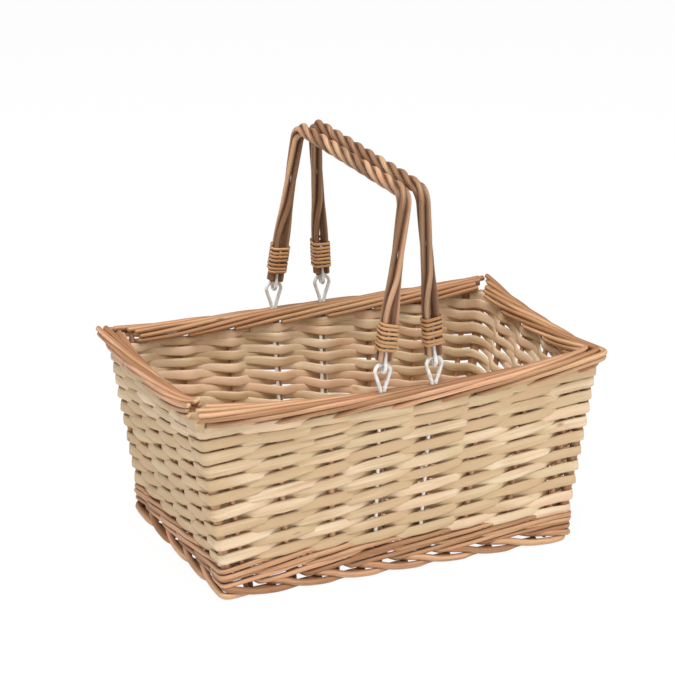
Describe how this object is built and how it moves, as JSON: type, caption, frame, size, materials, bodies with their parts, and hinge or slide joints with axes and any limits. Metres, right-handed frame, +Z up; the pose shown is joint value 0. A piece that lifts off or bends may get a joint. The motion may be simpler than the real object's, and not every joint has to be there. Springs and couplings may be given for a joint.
{
  "type": "woven basket",
  "caption": "Open rectangular willow basket with flared woven walls, a thick rod rim, a raised foot and folding twisted handles",
  "frame": {"origin": "on the floor, at the middle of the foot", "axes": "+X runs along the basket's length, +Y from the front long side to the back one, +Z up"},
  "size_m": [0.4338, 0.2838, 0.3857],
  "materials": {
    "pale_willow": "split willow, satin",
    "brown_willow": "round willow rods, satin",
    "stake_willow": "round willow rods, satin",
    "cane": "flat cane, satin",
    "coated_wire": "plastic-coated wire, semi-gloss"
  },
  "bodies": {
    "basket": {"base_weave": "pale_willow", "base_stick_1": "stake_willow", "base_stick_2": "stake_willow", "base_stick_3": "stake_willow", "base_stick_4": "stake_willow", "base_stick_5": "stake_willow", "base_stick_6": "stake_willow", "base_stick_7": "stake_willow", "stakes_and_foot_front": "brown_willow", "stakes_and_foot_right": "brown_willow", "stakes_and_foot_back": "brown_willow", "stakes_and_foot_left": "brown_willow", "wale_front": "brown_willow", "wale_right": "brown_willow", "wale_back": "brown_willow", "wale_left": "brown_willow", "weave_front": "pale_willow", "weave_right": "pale_willow", "weave_back": "pale_willow", "weave_left": "pale_willow", "corner_post_front_right": "stake_willow", "corner_post_back_right": "stake_willow", "corner_post_back_left": "stake_willow", "corner_post_front_left": "stake_willow", "rim_front_outer": "brown_willow", "rim_front_inner": "brown_willow", "rim_right_outer": "brown_willow", "rim_right_inner": "brown_willow", "rim_back_outer": "brown_willow", "rim_back_inner": "brown_willow", "rim_left_outer": "brown_willow", "rim_left_inner": "brown_willow", "hinge_loop_left_front": "coated_wire", "hinge_loop_left_back": "coated_wire", "hinge_loop_right_front": "coated_wire", "hinge_loop_right_back": "coated_wire"},
    "left_handle": {"left_handle_rod_1": "brown_willow", "left_handle_rod_2": "brown_willow", "left_handle_rod_3": "brown_willow", "left_handle_rod_4": "brown_willow", "left_front_eye": "coated_wire", "left_back_eye": "coated_wire", "left_front_binding": "cane", "left_back_binding": "cane"},
    "right_handle": {"right_handle_rod_1": "brown_willow", "right_handle_rod_2": "brown_willow", "right_handle_rod_3": "brown_willow", "right_handle_rod_4": "brown_willow", "right_front_eye": "coated_wire", "right_back_eye": "coated_wire", "right_front_binding": "cane", "right_back_binding": "cane"}
  },
  "joints": [
    {"name": "left_handle_fold", "type": "hinge", "parent": "basket", "child": "left_handle", "pos_m": [-0.02641, 0, 0.20962], "axis": [0, -1, 0], "range_deg": [0, 98]},
    {"name": "right_handle_fold", "type": "hinge", "parent": "basket", "child": "right_handle", "pos_m": [0.02641, 0, 0.20962], "axis": [0, 1, 0], "range_deg": [0, 93]}
  ]
}
